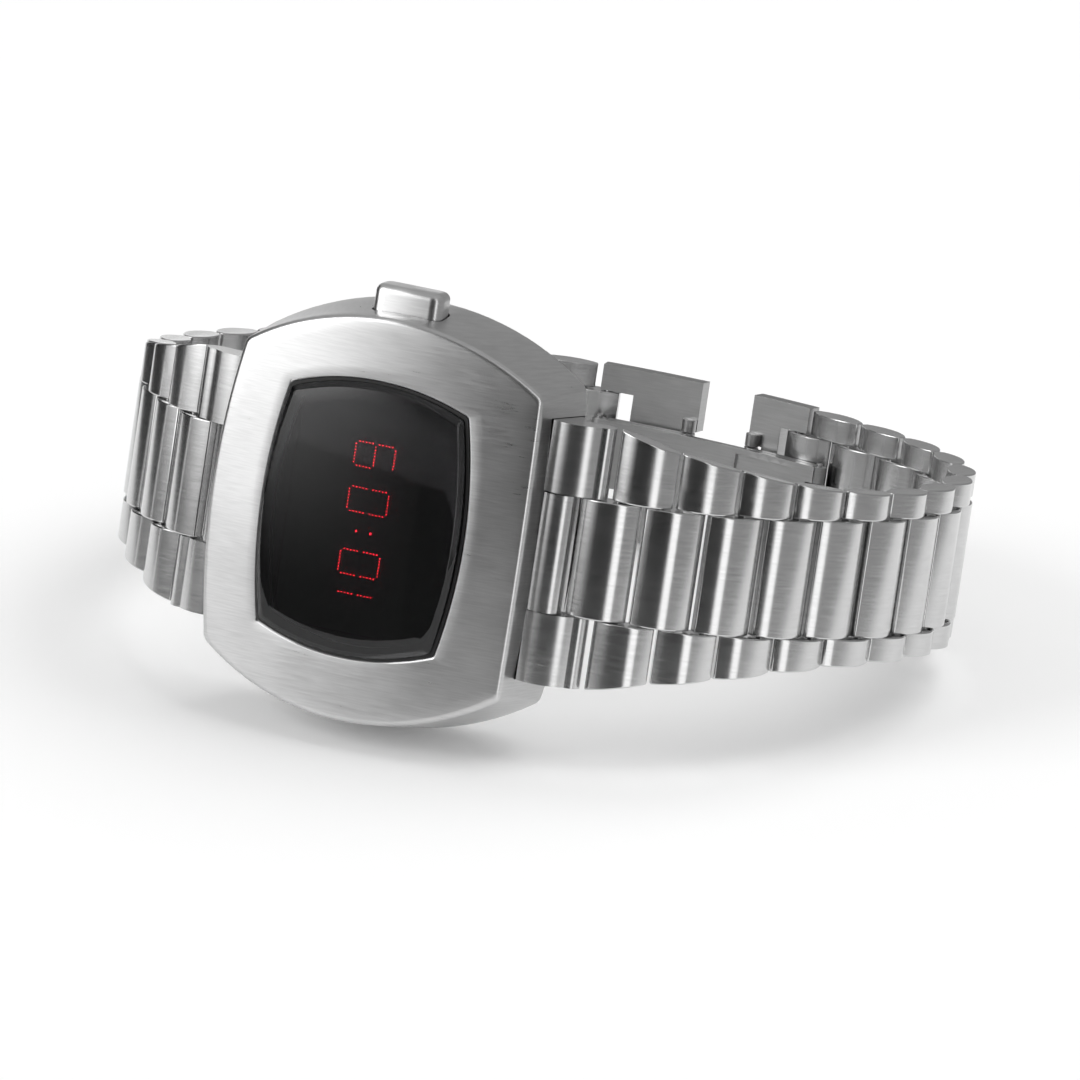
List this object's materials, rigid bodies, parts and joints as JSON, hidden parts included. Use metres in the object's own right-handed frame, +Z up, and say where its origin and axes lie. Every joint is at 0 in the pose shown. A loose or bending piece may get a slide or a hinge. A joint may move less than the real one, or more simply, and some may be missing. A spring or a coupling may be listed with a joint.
{
  "type": "LED wristwatch",
  "caption": "Steel LED wristwatch with a barrel-shaped case, dark display window, side pusher and a tapering link bracelet closed by a folding clasp, standing on its side.",
  "frame": {"origin": "middle of the bounding box, on the table the watch stands on", "axes": "+Z up from the table, +X from the 12 towards the 6 o'clock side of the case, the dial facing -Y and tipped a little upwards"},
  "size_m": [0.0796, 0.0694, 0.0427],
  "materials": {
    "case_steel": "circular-brushed satin with softened edges",
    "caseback_steel": "straight-grained satin",
    "crystal_glass": "polished dark mineral glass",
    "gasket_rubber": "matt black",
    "filter_plastic": "dark red, polished",
    "led_red": "lit red",
    "board_green": "solder-mask green",
    "holder_plastic": "moulded, matt",
    "cell_steel": "bright nickel",
    "contact_brass": "rolled strip",
    "bracelet_steel": "lengthwise-brushed satin, bright edges",
    "clasp_steel": "pressed sheet, satin",
    "pusher_steel": "fine satin",
    "pin_steel": "drawn wire"
  },
  "bodies": {
    "watch_head": {"case_middle": "case_steel", "crystal": "crystal_glass", "crystal_gasket": "gasket_rubber", "display_filter": "filter_plastic", "led_segments": "led_red", "circuit_board": "board_green", "module_holder": "holder_plastic", "battery": "cell_steel", "battery_contact": "contact_brass", "caseback": "caseback_steel", "caseback_gasket": "gasket_rubber", "caseback_screws": "pin_steel", "pusher_gasket": "gasket_rubber", "pusher_spring": "pin_steel", "end_link_6": "bracelet_steel", "spring_bar_6": "pin_steel", "end_link_12": "bracelet_steel", "spring_bar_12": "pin_steel"},
    "pusher": {"pusher_cap": "pusher_steel", "pusher_stem": "pusher_steel", "pusher_clip": "pin_steel"},
    "link_6_01_body": {"link_6_01": "bracelet_steel"},
    "link_6_02_body": {"link_6_02": "bracelet_steel"},
    "link_6_03_body": {"link_6_03": "bracelet_steel"},
    "link_6_04_body": {"link_6_04": "bracelet_steel"},
    "link_6_05_body": {"link_6_05": "bracelet_steel"},
    "link_6_06_body": {"link_6_06": "bracelet_steel"},
    "link_6_07_body": {"link_6_07": "bracelet_steel"},
    "link_6_08_body": {"link_6_08": "bracelet_steel"},
    "link_6_09_body": {"link_6_09": "bracelet_steel"},
    "link_6_10_body": {"link_6_10": "bracelet_steel"},
    "link_6_11_body": {"link_6_11": "bracelet_steel"},
    "link_6_12_body": {"link_6_12": "bracelet_steel"},
    "link_6_13_body": {"link_6_13": "bracelet_steel"},
    "link_12_01_body": {"link_12_01": "bracelet_steel"},
    "link_12_02_body": {"link_12_02": "bracelet_steel"},
    "link_12_03_body": {"link_12_03": "bracelet_steel"},
    "link_12_04_body": {"link_12_04": "bracelet_steel"},
    "link_12_05_body": {"link_12_05": "bracelet_steel"},
    "link_12_06_body": {"link_12_06": "bracelet_steel"},
    "link_12_07_body": {"link_12_07": "bracelet_steel"},
    "link_12_08_body": {"link_12_08": "bracelet_steel"},
    "link_12_09_body": {"link_12_09": "bracelet_steel"},
    "link_12_10_body": {"link_12_10": "bracelet_steel"},
    "link_12_11_body": {"link_12_11": "bracelet_steel"},
    "link_12_12_body": {"link_12_12": "bracelet_steel"},
    "link_12_13_body": {"link_12_13": "bracelet_steel"},
    "cover_6_body": {"clasp_link_6": "bracelet_steel", "cover_bar_6": "pin_steel", "clasp_cover_6": "clasp_steel", "cover_pin_6": "pin_steel"},
    "wing_6_body": {"clasp_wing_6": "clasp_steel"},
    "base_body": {"clasp_base": "clasp_steel", "base_pins": "pin_steel"},
    "wing_12_body": {"clasp_wing_12": "clasp_steel"},
    "cover_12_body": {"clasp_link_12": "bracelet_steel", "cover_bar_12": "pin_steel", "clasp_cover_12": "clasp_steel", "cover_pin_12": "pin_steel"}
  },
  "joints": [
    {"name": "link_6_01_hinge", "type": "hinge", "parent": "watch_head", "child": "link_6_01_body", "pos_m": [0.01408, -0.02586, 0.02056], "axis": [-0.0065, -0.2079, -0.9781], "range_deg": [0, 15.11]},
    {"name": "link_6_02_hinge", "type": "hinge", "parent": "link_6_01_body", "child": "link_6_02_body", "pos_m": [0.01987, -0.02434, 0.0202], "axis": [-0.0065, -0.2079, -0.9781], "range_deg": [0, 15.61]},
    {"name": "link_6_03_hinge", "type": "hinge", "parent": "link_6_02_body", "child": "link_6_03_body", "pos_m": [0.02503, -0.02135, 0.01953], "axis": [-0.0065, -0.2079, -0.9781], "range_deg": [0, 14.81]},
    {"name": "link_6_04_hinge", "type": "hinge", "parent": "link_6_03_body", "child": "link_6_04_body", "pos_m": [0.02924, -0.01717, 0.01861], "axis": [-0.0065, -0.2079, -0.9781], "range_deg": [0, 9.21]},
    {"name": "link_6_05_hinge", "type": "hinge", "parent": "link_6_04_body", "child": "link_6_05_body", "pos_m": [0.0327, -0.01239, 0.01757], "axis": [-0.0065, -0.2079, -0.9781], "range_deg": [0, 5.71]},
    {"name": "link_6_06_hinge", "type": "hinge", "parent": "link_6_05_body", "child": "link_6_06_body", "pos_m": [0.03567, -0.00729, 0.01647], "axis": [-0.0065, -0.2079, -0.9781], "range_deg": [0, 11.91]},
    {"name": "link_6_07_hinge", "type": "hinge", "parent": "link_6_06_body", "child": "link_6_07_body", "pos_m": [0.03749, -0.0017, 0.01527], "axis": [-0.0065, -0.2079, -0.9781], "range_deg": [0, 10.41]},
    {"name": "link_6_08_hinge", "type": "hinge", "parent": "link_6_07_body", "child": "link_6_08_body", "pos_m": [0.03825, 0.00412, 0.01402], "axis": [-0.0065, -0.2079, -0.9781], "range_deg": [0, 10.51]},
    {"name": "link_6_09_hinge", "type": "hinge", "parent": "link_6_08_body", "child": "link_6_09_body", "pos_m": [0.03792, 0.00998, 0.01278], "axis": [-0.0065, -0.2079, -0.9781], "range_deg": [0, 15.41]},
    {"name": "link_6_10_hinge", "type": "hinge", "parent": "link_6_09_body", "child": "link_6_10_body", "pos_m": [0.036, 0.01554, 0.01161], "axis": [-0.0065, -0.2079, -0.9781], "range_deg": [0, 15.31]},
    {"name": "link_6_11_hinge", "type": "hinge", "parent": "link_6_10_body", "child": "link_6_11_body", "pos_m": [0.03266, 0.02042, 0.0106], "axis": [-0.0065, -0.2079, -0.9781], "range_deg": [0, 14.41]},
    {"name": "link_6_12_hinge", "type": "hinge", "parent": "link_6_11_body", "child": "link_6_12_body", "pos_m": [0.02818, 0.02433, 0.0098], "axis": [-0.0065, -0.2079, -0.9781], "range_deg": [0, 11.51]},
    {"name": "link_6_13_hinge", "type": "hinge", "parent": "link_6_12_body", "child": "link_6_13_body", "pos_m": [0.02299, 0.02729, 0.0092], "axis": [-0.0065, -0.2079, -0.9781], "range_deg": [0, 7.91]},
    {"name": "cover_6_hinge", "type": "hinge", "parent": "link_6_13_body", "child": "cover_6_body", "pos_m": [0.01744, 0.02952, 0.00876], "axis": [-0.0065, -0.2079, -0.9781], "range_deg": [0, 7.27]},
    {"name": "wing_6_hinge", "type": "hinge", "parent": "cover_6_body", "child": "wing_6_body", "pos_m": [0.01026, 0.03014, 0.00868], "axis": [-0.0065, -0.2079, -0.9781], "range_deg": [0, 165.01]},
    {"name": "base_hinge_6", "type": "hinge", "parent": "wing_6_body", "child": "base_body", "pos_m": [0.01845, 0.02686, 0.00932], "axis": [0.0065, 0.2079, 0.9781], "range_deg": [0, 165.01]},
    {"name": "base_hinge_12", "type": "hinge", "parent": "base_body", "child": "wing_12_body", "pos_m": [-0.00528, 0.02937, 0.00895], "axis": [0.0065, 0.2079, 0.9781], "range_deg": [0, 165.01]},
    {"name": "wing_12_hinge", "type": "hinge", "parent": "wing_12_body", "child": "cover_12_body", "pos_m": [0.00342, 0.03086, 0.00857], "axis": [-0.0065, -0.2079, -0.9781], "range_deg": [0, 165.01]},
    {"name": "link_12_01_hinge", "type": "hinge", "parent": "watch_head", "child": "link_12_01_body", "pos_m": [-0.02524, -0.02581, 0.02081], "axis": [0.0065, 0.2079, 0.9781], "range_deg": [0, 41.21]},
    {"name": "link_12_02_hinge", "type": "hinge", "parent": "link_12_01_body", "child": "link_12_02_body", "pos_m": [-0.02975, -0.02194, 0.02001], "axis": [0.0065, 0.2079, 0.9781], "range_deg": [0, 10.36]},
    {"name": "link_12_03_hinge", "type": "hinge", "parent": "link_12_02_body", "child": "link_12_03_body", "pos_m": [-0.03349, -0.01734, 0.01906], "axis": [0.0065, 0.2079, 0.9781], "range_deg": [0, 12.09]},
    {"name": "link_12_04_hinge", "type": "hinge", "parent": "link_12_03_body", "child": "link_12_04_body", "pos_m": [-0.03615, -0.01208, 0.01796], "axis": [0.0065, 0.2079, 0.9781], "range_deg": [0, 10.58]},
    {"name": "link_12_05_hinge", "type": "hinge", "parent": "link_12_04_body", "child": "link_12_05_body", "pos_m": [-0.03778, -0.00643, 0.01677], "axis": [0.0065, 0.2079, 0.9781], "range_deg": [0, 11.03]},
    {"name": "link_12_06_hinge", "type": "hinge", "parent": "link_12_05_body", "child": "link_12_06_body", "pos_m": [-0.03828, -0.00058, 0.01553], "axis": [0.0065, 0.2079, 0.9781], "range_deg": [0, 11.29]},
    {"name": "link_12_07_hinge", "type": "hinge", "parent": "link_12_06_body", "child": "link_12_07_body", "pos_m": [-0.0376, 0.00525, 0.01428], "axis": [0.0065, 0.2079, 0.9781], "range_deg": [0, 11.26]},
    {"name": "link_12_08_hinge", "type": "hinge", "parent": "link_12_07_body", "child": "link_12_08_body", "pos_m": [-0.03577, 0.01084, 0.01309], "axis": [0.0065, 0.2079, 0.9781], "range_deg": [0, 11.12]},
    {"name": "link_12_09_hinge", "type": "hinge", "parent": "link_12_08_body", "child": "link_12_09_body", "pos_m": [-0.03288, 0.01598, 0.01197], "axis": [0.0065, 0.2079, 0.9781], "range_deg": [0, 10.67]},
    {"name": "link_12_10_hinge", "type": "hinge", "parent": "link_12_09_body", "child": "link_12_10_body", "pos_m": [-0.02906, 0.0205, 0.01099], "axis": [0.0065, 0.2079, 0.9781], "range_deg": [0, 10.01]},
    {"name": "link_12_11_hinge", "type": "hinge", "parent": "link_12_10_body", "child": "link_12_11_body", "pos_m": [-0.02449, 0.0243, 0.01015], "axis": [0.0065, 0.2079, 0.9781], "range_deg": [0, 9.14]},
    {"name": "link_12_12_hinge", "type": "hinge", "parent": "link_12_11_body", "child": "link_12_12_body", "pos_m": [-0.01937, 0.02735, 0.00947], "axis": [0.0065, 0.2079, 0.9781], "range_deg": [0, 8.16]},
    {"name": "link_12_13_hinge", "type": "hinge", "parent": "link_12_12_body", "child": "link_12_13_body", "pos_m": [-0.01385, 0.02965, 0.00894], "axis": [0.0065, 0.2079, 0.9781], "range_deg": [0, 6.85]},
    {"name": "pusher_press", "type": "slide", "parent": "watch_head", "child": "pusher", "axis": [-0.0065, -0.2079, -0.9781], "range_m": [0, 0.0008], "stiffness_N_per_m": 1200, "springref_m": -0.0009, "deforming": ["pusher_spring"]}
  ],
  "couplings": [
    {"joint": "link_6_01_hinge", "follows": "cover_6_hinge", "ratio": 2.0784},
    {"joint": "link_6_02_hinge", "follows": "cover_6_hinge", "ratio": 2.1472},
    {"joint": "link_6_03_hinge", "follows": "cover_6_hinge", "ratio": 2.0371},
    {"joint": "link_6_04_hinge", "follows": "cover_6_hinge", "ratio": 1.2663},
    {"joint": "link_6_05_hinge", "follows": "cover_6_hinge", "ratio": 0.78455},
    {"joint": "link_6_06_hinge", "follows": "cover_6_hinge", "ratio": 1.6379},
    {"joint": "link_6_07_hinge", "follows": "cover_6_hinge", "ratio": 1.4315},
    {"joint": "link_6_08_hinge", "follows": "cover_6_hinge", "ratio": 1.4452},
    {"joint": "link_6_09_hinge", "follows": "cover_6_hinge", "ratio": 2.1197},
    {"joint": "link_6_10_hinge", "follows": "cover_6_hinge", "ratio": 2.1059},
    {"joint": "link_6_11_hinge", "follows": "cover_6_hinge", "ratio": 1.982},
    {"joint": "link_6_12_hinge", "follows": "cover_6_hinge", "ratio": 1.5829},
    {"joint": "link_6_13_hinge", "follows": "cover_6_hinge", "ratio": 1.0874},
    {"joint": "wing_6_hinge", "follows": "cover_6_hinge", "ratio": 22.711},
    {"joint": "base_hinge_6", "follows": "cover_6_hinge", "ratio": 22.711},
    {"joint": "base_hinge_12", "follows": "cover_6_hinge", "ratio": 22.711},
    {"joint": "wing_12_hinge", "follows": "cover_6_hinge", "ratio": 22.711},
    {"joint": "link_12_01_hinge", "follows": "cover_6_hinge", "ratio": 5.6708},
    {"joint": "link_12_02_hinge", "follows": "cover_6_hinge", "ratio": 1.4251},
    {"joint": "link_12_03_hinge", "follows": "cover_6_hinge", "ratio": 1.6629},
    {"joint": "link_12_04_hinge", "follows": "cover_6_hinge", "ratio": 1.4547},
    {"joint": "link_12_05_hinge", "follows": "cover_6_hinge", "ratio": 1.5174},
    {"joint": "link_12_06_hinge", "follows": "cover_6_hinge", "ratio": 1.5532},
    {"joint": "link_12_07_hinge", "follows": "cover_6_hinge", "ratio": 1.5479},
    {"joint": "link_12_08_hinge", "follows": "cover_6_hinge", "ratio": 1.5285},
    {"joint": "link_12_09_hinge", "follows": "cover_6_hinge", "ratio": 1.4669},
    {"joint": "link_12_10_hinge", "follows": "cover_6_hinge", "ratio": 1.3765},
    {"joint": "link_12_11_hinge", "follows": "cover_6_hinge", "ratio": 1.2567},
    {"joint": "link_12_12_hinge", "follows": "cover_6_hinge", "ratio": 1.1215},
    {"joint": "link_12_13_hinge", "follows": "cover_6_hinge", "ratio": 0.94189}
  ]
}
